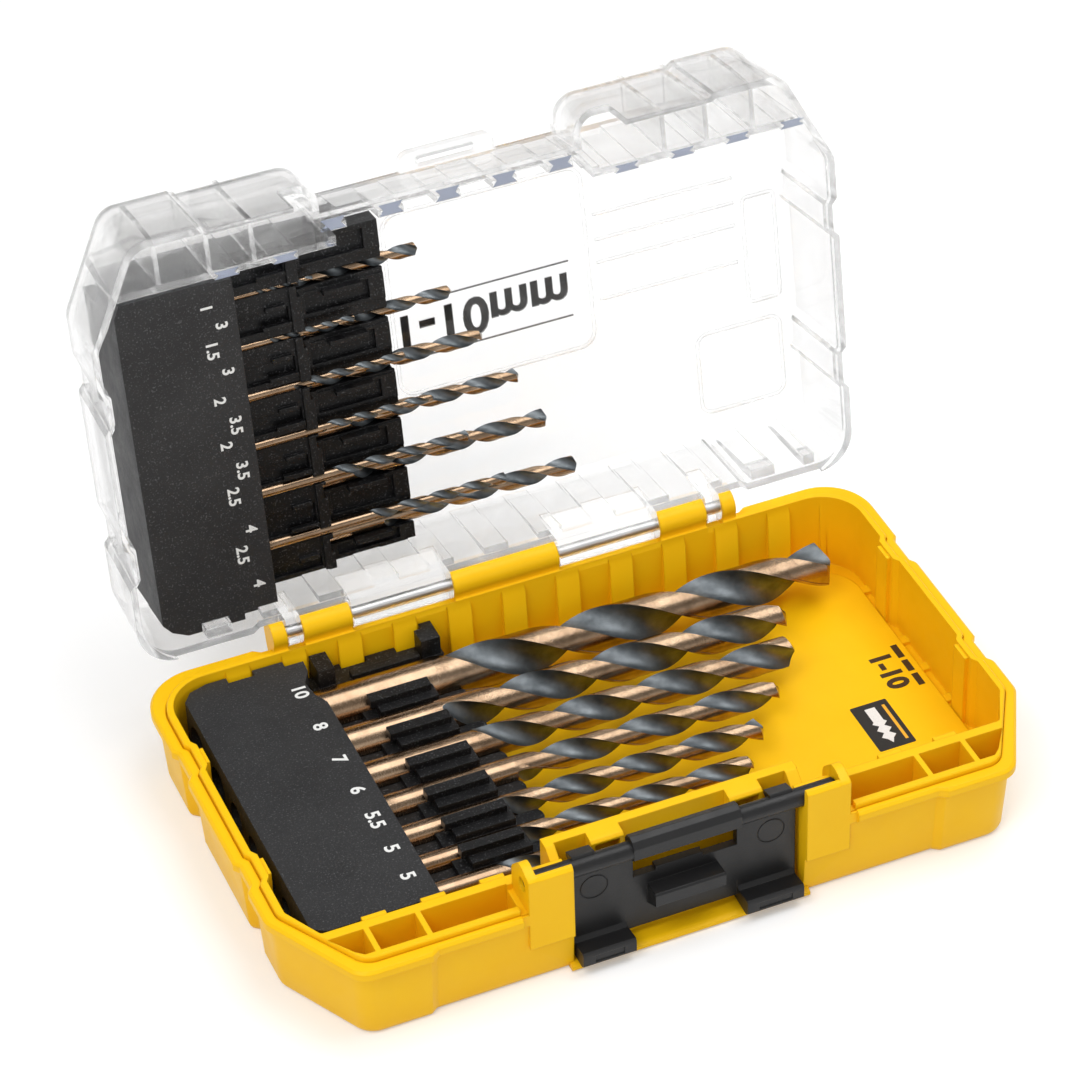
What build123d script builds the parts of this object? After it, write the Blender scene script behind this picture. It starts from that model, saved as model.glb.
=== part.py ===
from build123d import *
import os
from math import hypot, sqrt

os.makedirs("parts", exist_ok=True)

# ---------------------------------------------------------------- driving sizes (mm)
RIB_PITCH = 12.7          # spacing of the wall ribs
RIB_W = 5.6               # width of a rib
RIB_OFF = 5.9             # middle of the rib row, from the middle of the case
LIP_X = 84.2              # half length over the tray lip
LIP_FRONT = -50.4         # front of the lip at the corner blocks
LIP_BACK = 51.2           # back of the lip at the corner blocks
STEP = 1.15               # how far the long faces sit back between corner blocks
STEP_X = 56.0             # where the corner blocks end
LIP_OVER = 1.25           # lip overhang beyond the tray wall
DRAFT = 1.2               # taper of the tray wall over its height, each side
CORNER_R = 11.5           # back corners of the lip
NOTCH = 1.0               # depth of the shallow notches on the short sides
PARTING = 20.0            # height of the lid's lower edge
LIP_Z = 19.8              # top of the tray lip
LIP_H = 3.0               # height of the lip band
BEAD_Z = 21.0             # top of the bead inside the lip
FLOOR_T = 2.0             # tray floor
PANEL_Z = 3.2             # top of the raised floor panel
INNER_X = 80.0            # half length of the compartment
INNER_BACK = 46.2         # back face of the compartment
DIV_FRONT = -39.2         # front face of the divider wall
DIV_BACK = -37.0          # back face of the divider wall
TAB_Y = -35.6             # inner face of the divider tabs
BACK_RIB_X = 3.8          # middle of a back rib, from the start of its pitch
BACK_RIB_Y = 45.4         # inner face of the back ribs at their top and at the floor
BACK_RIB_FOOT = 44.0
POCKET_FRONT = -46.0      # front face of the small pockets
LATCH_X = -0.3            # middle of the latch
LATCH_W = 24.8            # half width of the latch plate
PIVOT_Y = -44.8           # latch pivot
PIVOT_Z = 25.3
BARREL_R = 2.0            # latch barrel and trunnions
STUB_R = 1.5              # end stubs of the latch
LUG_FRONT = -48.3         # front face of the lug blocks
LUG_TOP = 28.8            # top of the lug blocks
RECESS_X = 25.6           # half width of the latch recess
RECESS_Y = -37.5          # back face of the latch recess
RECESS_TOP = 26.4         # top of the wall behind the latch
HINGE_Y = 49.85           # hinge axis
HINGE_Z = 23.25
KNUCKLE_R = 3.2           # hinge knuckles
PIN_R = 1.25
PIN_FIT = 0.05            # running clearance of pins and bits
SIDE_GAP = 0.25           # end clearance between knuckles
OPEN = 99.6               # lid angle at rest
LID_X = 83.2              # half length of the lid at its edge
LID_FRONT = -49.9         # front of the lid
LID_BACK = 47.0           # back of the lid
LID_DRAFT = 1.2           # taper of the lid over its height, each side
LID_TOP = 44.0            # outer height of the closed case
LID_T = 1.6               # lid wall
LID_WALL_Y = -39.0        # front face of the lid's recess wall at its top
BOX_X = 28.6              # inner end of the lid's front boxes
BOX_R = 5.0               # rounding of that end
LID_RIB_OFF = 4.7         # middle of the lid's rib row
BASE_BIT_Z = 11.5         # axis height of the tray bits
GAP_PLATE_Z = 11.3        # top of the plates between tray bits
BLOCK_Z = 19.2            # top of the tray's label block
BLOCK_X0 = -76.4          # label block ends
BLOCK_X1 = -48.9
RACK_X1 = -17.9           # end of the tray rack
LID_BLOCK_Z = 23.6        # open face of the lid's label block
LID_BLOCK_X1 = -51.0
LID_RACK_X1 = -15.6
SHANK_GAP = 0.06          # clearance of a shank in its rack
FLUTE_PITCH = 5.44        # length of one turn of the flutes, in drill diameters
FLUTE_OUT = 0.95          # flute centre, radius and point height, in drill radii
FLUTE_R = 0.74
POINT = 0.5

# name: diameter, overall length, flute length, tip x, y
BASE_BITS = {
    "bit_10": (10.0, 133.0, 87.0, 71.6, 34.7),
    "bit_8": (8.0, 117.0, 75.0, 55.0, 22.6),
    "bit_7": (7.0, 109.0, 69.0, 51.6, 11.4),
    "bit_6": (6.0, 93.0, 57.0, 43.0, 1.0),
    "bit_5_5": (5.5, 93.0, 57.0, 34.6, -8.9),
    "bit_5_a": (5.0, 86.0, 52.0, 28.0, -18.2),
    "bit_5_b": (5.0, 86.0, 52.0, 21.5, -27.0),
}
# name: diameter, overall length, flute length, tip x, y, z (lid closed)
LID_BITS = {
    "bit_1": (1.0, 34.0, 12.0, -31.5, -26.3, 31.6),
    "bit_1_5": (1.5, 40.0, 18.0, -23.5, -14.6, 31.6),
    "bit_2_a": (2.0, 49.0, 24.0, -13.5, -2.8, 31.6),
    "bit_2_b": (2.0, 49.0, 24.0, -8.5, 8.8, 31.6),
    "bit_2_5_a": (2.5, 57.0, 30.0, -1.5, 20.2, 31.6),
    "bit_2_5_b": (2.5, 57.0, 30.0, 6.0, 33.0, 31.6),
    "bit_3_a": (3.0, 61.0, 33.0, -6.8, -24.6, 35.6),
    "bit_3_b": (3.0, 61.0, 33.0, -0.4, -12.6, 35.6),
    "bit_3_5_a": (3.5, 70.0, 39.0, 5.4, -0.4, 35.6),
    "bit_3_5_b": (3.5, 70.0, 39.0, 12.6, 11.4, 35.6),
    "bit_4_a": (4.0, 75.0, 43.0, 18.0, 23.4, 35.6),
    "bit_4_b": (4.0, 75.0, 43.0, 23.8, 36.8, 35.6),
}


# ---------------------------------------------------------------- helpers
def box(x0, x1, y0, y1, z0, z1):
    return Pos((x0 + x1) / 2, (y0 + y1) / 2, (z0 + z1) / 2) * Box(x1 - x0, y1 - y0, z1 - z0)


def rod_x(x0, x1, y, z, r):
    return Pos((x0 + x1) / 2, y, z) * Rot(0, 90, 0) * Cylinder(r, x1 - x0)


def join(items):
    items = list(items)
    out = items[0]
    for item in items[1:]:
        out = out + item
    return out


def cut(shape, items):
    for item in items:
        shape = shape - item
    return shape


def one(shape):
    parts = shape.solids()
    if len(parts) == 1:
        return parts[0]
    return Compound(children=list(parts))


def round_face(corners):
    """Face from (x, y, radius) corners, each rounded with a tangent arc."""
    marks = []
    n = len(corners)
    for i, (x, y, r) in enumerate(corners):
        px, py, _ = corners[i - 1]
        nx, ny, _ = corners[(i + 1) % n]
        a = hypot(px - x, py - y)
        b = hypot(nx - x, ny - y)
        ux, uy, vx, vy = (px - x) / a, (py - y) / a, (nx - x) / b, (ny - y) / b
        cos_half = sqrt(max(0.0, (1 + ux * vx + uy * vy) / 2))
        sin_half = sqrt(max(1e-9, 1 - cos_half * cos_half))
        t = r * cos_half / sin_half
        m = hypot(ux + vx, uy + vy)
        d = r / sin_half - r
        mid = (x + (ux + vx) / m * d, y + (uy + vy) / m * d)
        marks.append(((x + ux * t, y + uy * t), mid, (x + vx * t, y + vy * t)))
    edges = []
    for i, (start, mid, end) in enumerate(marks):
        edges.append(ThreePointArc(start, mid, end))
        edges.append(Line(end, marks[(i + 1) % n][0]))
    return make_face(Wire([e.edge() for e in edges]))


def prism(points, z0, z1):
    return Pos(0, 0, z0) * extrude(make_face(Polyline(*points, close=True)), amount=z1 - z0)


def round_prism(corners, z0, z1):
    return Pos(0, 0, z0) * extrude(round_face(corners), amount=z1 - z0)


def stack(sections):
    """Ruled solid through (height, corners) sections."""
    return loft([Pos(0, 0, z) * round_face(c) for z, c in sections], ruled=True)


def prism_x(points, x0, x1):
    """Profile given as (y, z) pairs, run along X."""
    face = make_face(Polyline(*[(0, y, z) for y, z in points], close=True))
    return Pos(x0, 0, 0) * extrude(face, amount=x1 - x0, dir=(1, 0, 0))


def rounded_box(x0, x1, y0, y1, z0, z1, r):
    sketch = Pos((x0 + x1) / 2, (y0 + y1) / 2) * RectangleRounded(x1 - x0, y1 - y0, r)
    return Pos(0, 0, z0) * extrude(sketch, amount=z1 - z0)


def mirrored(half):
    return half + [(-x, y, r) for x, y, r in reversed(half)]


def rib_xs(first=0, last=11, off=RIB_OFF):
    return [(k - 5.5) * RIB_PITCH + off for k in range(first, last + 1)]


def side(x, back, front, inset, notch, step, corner_r):
    """Corners of a plan on the +X side, from the back middle to the front middle."""
    x, back, front = x - inset, back - inset, front + inset
    n = x - notch
    s = 0.5
    return [
        (STEP_X + 0.3, back - step, s), (STEP_X + 1.9, back, s), (x, back, max(corner_r - inset, 2.0)),
        (x, 28.0, s), (n, 26.6, s), (n, 19.2, s), (x, 17.8, s),
        (x, -9.2, s), (n, -10.6, s), (n, -16.8, s), (x, -18.2, s),
        (x, -28.0 + 0.25 * inset, 5.0), (72.3 - 0.6 * inset, front, 5.0),
        (STEP_X + 0.9, front, s), (STEP_X - 0.7, front + step, s),
    ]


def tray_plan(inset=0.0, notch=NOTCH):
    return mirrored(side(LIP_X, LIP_BACK, LIP_FRONT, inset, notch, STEP, CORNER_R))


def lid_plan(inset=0.0):
    return mirrored(side(LID_X, LID_BACK, LID_FRONT, inset, NOTCH * 1.2, STEP, 8.5))


def compartment(grow=0.0):
    """Plan inside the tray rim, front pockets included."""
    x, n, s = INNER_X + grow, INNER_X + grow - 0.9, 0.5
    half = [
        (x, INNER_BACK + grow, 9.5 + grow), (x, 27.6, s), (n, 26.2, s), (n, 19.6, s), (x, 18.2, s),
        (x, -8.8, s), (n, -10.2, s), (n, -17.0, s), (x, -18.4, s),
        (x, -28.0, 3.0 + grow), (70.2, POCKET_FRONT - grow, 3.0 + grow),
    ]
    return mirrored(half)


def main_room():
    x, n, s = INNER_X, INNER_X - 0.9, 0.5
    half = [
        (x, INNER_BACK, 9.5), (x, 27.6, s), (n, 26.2, s), (n, 19.6, s), (x, 18.2, s),
        (x, -8.8, s), (n, -10.2, s), (n, -17.0, s), (x, -18.4, s),
        (x, -28.4, 2.0), (75.5, DIV_BACK, 1.0),
    ]
    return mirrored(half)


def turn_lid(shape):
    """Lid parts are drawn closed and turned open about the hinge."""
    return Pos(0, HINGE_Y, HINGE_Z) * Rot(-OPEN, 0, 0) * Pos(0, -HINGE_Y, -HINGE_Z) * shape


def save(shape, name):
    export_step(one(shape), "parts/" + name + ".step")


# ---------------------------------------------------------------- tray
TRAY_KNUCKLES = [(-54.2, -51.0), (-47.2, -36.1), (-12.6, 12.0), (36.1, 47.2), (51.0, 54.2)]
LID_KNUCKLES = [(-50.75, -47.45), (-35.85, -12.85), (12.25, 35.85), (47.45, 50.75)]
LUGS = [(-35.5, -33.4, -RECESS_X), (35.5, 33.4, RECESS_X)]      # post outer, post inner, block inner
LIP_END = 37.0            # the lip stops short of the lugs
DIVIDERS = [-66.8, -55.8, 54.9, 65.6]
HOOKS = [(-18.6, -11.4), (12.0, 19.4)]


def tray_shell():
    top = LIP_OVER
    rounding = [(0.0, 1.2), (0.3, 0.6), (0.9, 0.2), (1.8, -0.1)]
    sections = [(z, tray_plan(top + DRAFT + i, NOTCH * 1.7)) for z, i in rounding]
    sections.append((LIP_Z - 0.6, tray_plan(top, NOTCH * 1.7)))
    body = stack(sections)
    lip = stack([(LIP_Z - LIP_H, tray_plan(0.75)), (LIP_Z - LIP_H + 0.8, tray_plan(0.0)), (LIP_Z - 0.6, tray_plan(0.0)),
                 (LIP_Z, tray_plan(0.55))])
    groove = round_prism(compartment(1.75), LIP_Z - 0.7, LIP_Z + 1)
    bead = stack([(LIP_Z - 1.0, compartment(1.5)), (BEAD_Z - 0.3, compartment(1.5)), (BEAD_Z, compartment(1.2))])
    return body + (lip - groove) + bead


def pocket_cells():
    cells = []
    t = 0.6
    left_end = LUGS[0][0] - 1.2
    right_end = LUGS[1][0] + 1.2
    spans = [(DIVIDERS[0] + t, DIVIDERS[1] - t), (DIVIDERS[1] + t, left_end)]
    spans += [(right_end, DIVIDERS[2] - t), (DIVIDERS[2] + t, DIVIDERS[3] - t)]
    for a, b in spans:
        cells.append(box(a, b, POCKET_FRONT, DIV_FRONT, FLOOR_T + 1.0, 30))
    for s, edge in ((-1, -DIVIDERS[0] + t), (1, DIVIDERS[3] + t)):
        pts = [(edge, DIV_FRONT), (edge, POCKET_FRONT), (69.6, POCKET_FRONT), (71.2, POCKET_FRONT + 1.4), (74.9, DIV_FRONT)]
        cells.append(prism([(s * a, b) for a, b in pts], FLOOR_T + 1.0, 30))
    return cells


def tray_ribs():
    ribs = []
    for k, x in enumerate(rib_xs()):
        x0 = x - RIB_W / 2
        slope = [(INNER_BACK + 0.5, FLOOR_T - 0.1), (INNER_BACK + 0.5, BEAD_Z - 0.6), (INNER_BACK, BEAD_Z - 0.6),
                 (BACK_RIB_Y, BEAD_Z - 2.1), (BACK_RIB_FOOT, FLOOR_T - 0.1)]
        mid = x0 + BACK_RIB_X
        ribs.append(prism_x(slope, mid - 2.7, mid - 2.7 + (5.4 if k < 11 else 1.4)))
        if k in (0, 1, 2, 9, 10):
            tab = [(DIV_BACK - 0.3, FLOOR_T - 0.1), (DIV_BACK - 0.3, BEAD_Z - 0.3), (TAB_Y, BEAD_Z - 0.3),
                   (TAB_Y + 0.6, FLOOR_T - 0.1)]
            ribs.append(prism_x(tab, x0 + 0.2, x0 + RIB_W - 0.2))
    for s in (-1, 1):
        for y0, y1 in ((20.6, 25.4), (-16.0, -11.0)):
            ribs.append(box(min(s * 78.2, s * 79.6), max(s * 78.2, s * 79.6), y0, y1, FLOOR_T - 0.1, BEAD_Z - 0.6))
    return ribs


def lugs():
    solids = []
    for outer, inner, block in LUGS:
        x0, x1 = sorted((outer, inner))
        b0, b1 = sorted((inner, block))
        post = prism_x([(LUG_FRONT, 10.0), (LUG_FRONT, LUG_TOP - 0.6), (LUG_FRONT + 0.5, LUG_TOP - 0.1), (-45.4, 29.6),
                        (-44.4, 29.8), (-43.2, 29.7), (-42.2, 29.0), (-39.9, 26.6), (-39.3, 25.4), (-39.3, 10.0)], x0, x1)
        block_s = prism_x([(LUG_FRONT, 10.0), (LUG_FRONT, LUG_TOP - 0.7), (LUG_FRONT + 0.7, LUG_TOP), (PIVOT_Y - 1.0, LUG_TOP),
                           (PIVOT_Y - 1.0, 25.6), (PIVOT_Y + 3.3, 25.6), (PIVOT_Y + 3.3, 10.0)], b0 - 0.01, b1 + 0.01)
        solids.append(post + block_s)
    return solids


def hooks():
    """Small hoods on the wall behind the latch, and the wall's two end legs."""
    out = []
    t = RECESS_TOP
    for a, b in HOOKS:
        arm = [(RECESS_Y + 0.5, 20.5), (RECESS_Y + 0.5, t), (RECESS_Y, t), (-39.9, t - 0.3), (-40.5, t - 0.8), (-40.6, 21.2), (-40.0, 20.5)]
        hollow = [(-41.5, 20.0), (-41.5, t - 1.5), (-39.4, t - 1.2), (RECESS_Y + 0.2, t - 2.2), (RECESS_Y + 0.2, 20.0)]
        out.append(prism_x(arm, a, b) - prism_x(hollow, a + 0.9, b - 0.9))
    leg = [(RECESS_Y + 0.4, 18.0), (RECESS_Y + 0.4, t), (RECESS_Y - 0.6, t), (-41.9, 23.6), (-41.9, 18.0)]
    out += [prism_x(leg, -27.6, -RECESS_X + 0.02), prism_x(leg, RECESS_X - 0.02, 28.2)]
    return out


def tray_knuckles():
    out = []
    for x0, x1 in TRAY_KNUCKLES:
        tube = rod_x(x0, x1, HINGE_Y, HINGE_Z, KNUCKLE_R)
        strut = prism_x([(46.9, 17.0), (48.4, 9.0), (50.4, 16.0), (HINGE_Y + 2.2, 19.2), (HINGE_Y + 2.9, HINGE_Z - 1.0),
                         (HINGE_Y, HINGE_Z), (HINGE_Y - 2.9, HINGE_Z - 1.0)], x0, x1)
        out.append(tube + strut)
    return out


def knuckle_bores():
    return rod_x(-53.4, 53.4, HINGE_Y, HINGE_Z, PIN_R + PIN_FIT)


def latch_seats():
    """Room for the trunnions: open above, round below, with stub holes in the posts."""
    out = []
    r = BARREL_R + PIN_FIT + 0.05
    for outer, inner, block in LUGS:
        b0, b1 = sorted((inner, block))
        out.append(rod_x(b0 - 0.05, b1 + 0.05, PIVOT_Y, PIVOT_Z, r))
        out.append(box(b0 - 0.05, b1 + 0.05, PIVOT_Y - r, PIVOT_Y + r, PIVOT_Z, 34))
        x0, x1 = sorted((outer, inner))
        out.append(rod_x(x0 - 1, x1 + 1, PIVOT_Y, PIVOT_Z, STUB_R + PIN_FIT))
    return out


def base_tray():
    tray = tray_shell()
    tray = cut(tray, [round_prism(main_room(), FLOOR_T, 40)] + pocket_cells())
    panel = rounded_box(-78.0, 78.0, -36.0, 41.6, FLOOR_T - 0.2, PANEL_Z, 9.0)
    nibs = [box(77.0, 80.2, y, y + 2.4, FLOOR_T - 0.1, PANEL_Z - 0.4) for y in (31.0, 12.0, 2.2, -9.0)]
    tray = tray + join([panel] + nibs + tray_ribs())
    front = box(-LIP_END, LIP_END, -60, LUG_FRONT, LIP_Z - LIP_H - 1.2, 40)
    ledge = box(-LIP_END, LIP_END, -60, DIV_FRONT - 0.4, LIP_Z - 0.2, 40)
    tray = cut(tray, [front, ledge])
    wall = box(-27.6, 28.4, RECESS_Y - 0.1, -35.3, 2.0, RECESS_TOP)
    tray = tray + wall + join(lugs())
    recess = prism([(-RECESS_X - 0.5, -54), (-RECESS_X, -46), (-RECESS_X, RECESS_Y), (RECESS_X, RECESS_Y),
                    (RECESS_X, -46), (RECESS_X + 0.5, -54)], 1.8, 40)
    hollows = [box(min(s * 27.2, s * 33.3), max(s * 27.2, s * 33.3), -41.2, -38.0, 12.0, 40) for s in (-1, 1)]
    tray = cut(tray, [recess] + hollows)
    sill = prism_x([(-40.0, 0.2), (-48.0, 0.2), (-48.4, 0.6), (-48.4, 1.3), (-47.6, 1.8), (-40.0, 1.9)], -RECESS_X - 1, RECESS_X + 1)
    tray = tray + sill + join(hooks())
    room = [box(x0 - SIDE_GAP, x1 + SIDE_GAP, 46.3, 56, LIP_Z - 0.3, 30) for x0, x1 in LID_KNUCKLES]
    tray = cut(tray, latch_seats() + room)
    tray = tray + join(tray_knuckles())
    swing = [rod_x(x0 - SIDE_GAP, x1 + SIDE_GAP, HINGE_Y, HINGE_Z, KNUCKLE_R + 0.3) for x0, x1 in LID_KNUCKLES]
    return cut(tray, [knuckle_bores()] + swing)


# ---------------------------------------------------------------- lid
def lid_shell():
    d = LID_DRAFT
    outer = [(PARTING, lid_plan(0)), (LID_TOP - 1.9, lid_plan(d)), (LID_TOP - 0.9, lid_plan(d + 0.35)),
             (LID_TOP - 0.3, lid_plan(d + 1.0)), (LID_TOP, lid_plan(d + 1.9))]
    inner = [(PARTING - 0.1, lid_plan(LID_T)), (LID_TOP - LID_T - 1.0, lid_plan(d + LID_T)),
             (LID_TOP - LID_T, lid_plan(d + LID_T + 0.9))]
    return stack(outer) - stack(inner)


def lid_ribs():
    out = []
    top = LID_TOP - LID_T + 0.1
    for k, x in enumerate(rib_xs(off=LID_RIB_OFF)):
        x0 = x - RIB_W / 2
        if abs(x - LATCH_X) < BOX_X:
            out.append(prism_x([(-41.0, RECESS_TOP + 0.4), (-38.0, RECESS_TOP + 0.4), (-37.0, top), (-39.0, top)], x0, x0 + RIB_W))
        elif k > 0:
            out.append(prism_x([(-38.4, BEAD_Z + 0.5), (-36.8, BEAD_Z + 0.5), (-36.2, top), (-38.4, top)], x0, x0 + RIB_W))
        w = RIB_W if k < 11 else 2.6
        out.append(prism_x([(45.0, BEAD_Z + 0.5), (42.6, BEAD_Z + 0.5), (43.2, top), (45.0, top)], x0, x0 + w))
    return out


def lid_knuckles():
    out = []
    for x0, x1 in LID_KNUCKLES:
        tube = rod_x(x0, x1, HINGE_Y, HINGE_Z, KNUCKLE_R)
        arm = prism_x([(44.8, 21.6), (HINGE_Y - 1.6, 20.5), (HINGE_Y, HINGE_Z), (HINGE_Y + 0.8, HINGE_Z + 2.9),
                       (HINGE_Y - 1.4, HINGE_Z + 3.3), (45.9, 31.0), (44.8, 31.0)], x0, x1)
        out.append(tube + arm)
    return out


def hang_loop():
    tab = rounded_box(-6.6, 15.2, -43.2, -34.0, LID_TOP - 2.0, LID_TOP, 2.6)
    slot = rounded_box(-2.4, 10.8, -41.4, -39.5, LID_TOP - 3, LID_TOP + 1, 0.5)
    return tab - slot


def frame(x0, x1, y0, y1, r, d=0.45, w=0.8):
    outer = rounded_box(x0, x1, y0, y1, LID_TOP - d, LID_TOP + 1, r)
    inner = rounded_box(x0 + w, x1 - w, y0 + w, y1 - w, LID_TOP - d - 1, LID_TOP + 2, max(r - w, 0.3))
    return outer - inner


def panel_relief():
    """Shallow outlines pressed into the outer face of the lid."""
    lines = [box(36.0, 69.0, y, y + 0.7, LID_TOP - 0.4, LID_TOP + 1) for y in (-17.5, -11.5, -6.0, 3.0)]
    frames = [frame(-12.0, 34.4, -30.0, 14.0, 4.0), frame(70.6, 79.0, -12.0, 14.4, 1.6), frame(57.4, 78.4, 18.4, 38.8, 3.0)]
    return frames + lines


def box_corner(s):
    """Rounded end of a front box beside the latch recess, and the block it replaces."""
    def plan(inset, wall=0.0):
        x, front = BOX_X + max(0.0, inset - LID_DRAFT) + wall, LID_FRONT + STEP + inset + wall
        pts = [(x, front, BOX_R - wall), (BOX_X + 16, front, 0.3), (BOX_X + 16, -34.0, 0.3), (x, -34.0, 0.3)]
        return pts if s > 0 else [(-a, b, r) for a, b, r in reversed(pts)]
    d = LID_DRAFT
    outer = stack([(PARTING, plan(0)), (LID_TOP - 1.9, plan(d)), (LID_TOP - 0.9, plan(d + 0.35)), (LID_TOP - 0.3, plan(d + 1.0)),
                   (LID_TOP, plan(d + 1.9))])
    inner = stack([(PARTING - 0.1, plan(0, LID_T)), (LID_TOP - LID_T - 1.0, plan(d, LID_T)), (LID_TOP - LID_T, plan(d + 0.9, LID_T))])
    a, b = sorted((s * (BOX_X - 0.01), s * (BOX_X + 7.5)))
    region = box(a, b, -60, -40.4, PARTING - 1, LID_TOP + 1)
    return region, (outer - inner) & region


def lid():
    body = lid_shell()
    top = LID_TOP - 0.4
    e = BOX_X
    inner = box(-76.0, -e + 0.4, -38.8, -37.2, BEAD_Z + 0.4, top) + box(e - 0.4, 76.0, -38.8, -37.2, BEAD_Z + 0.4, top)
    middle = prism_x([(-41.2, RECESS_TOP + 0.3), (-39.8, RECESS_TOP + 0.3), (-37.6, LID_TOP - 0.5), (-37.6, LID_TOP),
                      (LID_WALL_Y + 0.6, LID_TOP), (LID_WALL_Y, LID_TOP - 0.6)], -e - 1.4, e + 1.4)
    panel = box(-e - 1.0, e + 1.0, -38.0, -30.0, LID_TOP - LID_T, LID_TOP)
    ends = [box(s * (e + 0.8) - 0.8, s * (e + 0.8) + 0.8, -47.6, -38.0, PARTING + 0.6, top) for s in (-1, 1)]
    cells = [box(x - 0.5, x + 0.5, -47.6, -38.0, PARTING + 1.4, top) for x in (-66.8, -55.8, -46.2, 45.2, 54.9, 65.6)]
    recess = box(-e, e, -60, -37.6, PARTING - 1, LID_TOP + 1)
    body = body + inner + join(ends + cells)
    body = body - recess
    for s in (-1, 1):
        region, corner = box_corner(s)
        body = body - region + corner
    body = body + panel + middle + join(lid_ribs())
    low = box(-e, e, -60, -34.0, PARTING - 1, RECESS_TOP + 0.3)
    lug_room = box(-LIP_END, LIP_END, -60, -39.6, PARTING - 1, LUG_TOP + 1.6)
    bead_room = round_prism(compartment(1.8), PARTING - 1, BEAD_Z + 0.25)
    tubes = [rod_x(x0 - SIDE_GAP, x1 + SIDE_GAP, HINGE_Y, HINGE_Z, KNUCKLE_R + 0.3) for x0, x1 in TRAY_KNUCKLES]
    body = cut(body, [low, lug_room, bead_room]) + hang_loop()
    body = cut(body, tubes) + join(lid_knuckles())
    gaps = [rod_x(x0, x1, HINGE_Y, HINGE_Z, KNUCKLE_R + 0.3) for x0, x1 in TRAY_KNUCKLES]
    return turn_lid(cut(body, [knuckle_bores()] + gaps + panel_relief()))


# ---------------------------------------------------------------- latch
def latch_foot(x0, x1, face, back):
    foot = prism_x([(back, 2.6), (-49.6, 2.2), (-50.6, 3.0), (-50.6, 5.6), (-50.2, 6.3), (face - 1.0, 5.8), (face - 0.2, 6.6),
                    (face, 8.4), (back, 8.4)], x0, x1)
    return foot - box(x0 + 2.6, x1 - 2.6, -51.0, -50.35, 3.4, 5.2)


def latch():
    c, w = LATCH_X, LATCH_W
    face, back = PIVOT_Y - 0.4, PIVOT_Y + 1.4
    plate = box(c - w, c + w, face, back, 4.0, PIVOT_Z)
    out = plate + rod_x(c - w, c + w, PIVOT_Y, PIVOT_Z, BARREL_R)
    window = box(-11.6, 11.4, face - 3, back + 3, 18.4, 24.0)
    out = out - window - box(-11.6, 11.4, face - 3, back + 3, 18.0, PIVOT_Z + 4)
    wave = prism_x([(-46.9, 24.0), (-46.9, 26.8), (-46.0, 28.2), (-44.6, 28.6), (-43.0, 28.0), (-42.2, 26.6),
                    (-42.6, 24.4), (-43.6, 23.5), (-46.2, 23.4)], -12.0, 11.8)
    sill = box(-6.6, 3.8, face, back, 17.9, 19.0)
    shelf = prism_x([(back, 13.0), (face, 13.4), (-48.7, 13.9), (-48.7, 12.3), (-49.6, 12.3), (-49.6, 15.1), (-49.2, 15.5),
                     (face, 15.2), (face, 16.2), (back, 16.2)], -8.6, 7.0)
    cheeks = [prism_x([(back, 9.8), (face, 9.8), (-49.6, 12.3), (-49.6, 14.6), (back, 14.6)], a, a + 1.1) for a in (-8.6, 5.9)]
    out = out + wave + sill + shelf + join(cheeks)
    for x0, x1 in ((c - w, -13.4), (11.4, c + w - 0.4)):
        out = out + latch_foot(x0, x1, face, back)
    flags = [prism_x([(PIVOT_Y, PIVOT_Z + 1.6), (PIVOT_Y + 2.6, PIVOT_Z + 0.4), (PIVOT_Y + 3.3, PIVOT_Z + 0.8), (PIVOT_Y + 3.3, PIVOT_Z + 1.7),
                      (PIVOT_Y + 0.4, PIVOT_Z + 2.6), (PIVOT_Y, PIVOT_Z + 2.2)], a, b) for a, b in ((-24.6, -19.6), (19.0, 24.0))]
    out = out + join(flags)
    x_in = LUGS[1][1]
    trunnions = rod_x(-x_in + 0.3, x_in - 0.3, PIVOT_Y, PIVOT_Z, BARREL_R) - rod_x(c - w + 1, c + w - 1, PIVOT_Y, PIVOT_Z, 9)
    stubs = rod_x(-x_in - 1.4, x_in + 1.4, PIVOT_Y, PIVOT_Z, STUB_R) - rod_x(-x_in + 1, x_in - 1, PIVOT_Y, PIVOT_Z, 9)
    out = out + trunnions + stubs
    rings = [Pos(x, face, 18.9) * Rot(90, 0, 0) * (Cylinder(3.1, 0.3) - Cylinder(2.85, 0.5)) for x in (-20.2, 19.0)]
    return cut(out, rings)


# ---------------------------------------------------------------- tray rack and block
def bit_slot(d, y, x0, x1, z, up):
    r = d / 2 + SHANK_GAP
    slot = rod_x(x0, x1, y, z, r)
    return slot + box(x0, x1, y - r * up, y + r * up, z, z + 12)


def back_notches(last=11):
    """Clearance for the tray's back ribs."""
    mids = [x - RIB_W / 2 + BACK_RIB_X for x in rib_xs(0, last)]
    return [box(x - 2.95, x + 2.95, BACK_RIB_FOOT - 0.3, 60, 0, 40) for x in mids]


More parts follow.
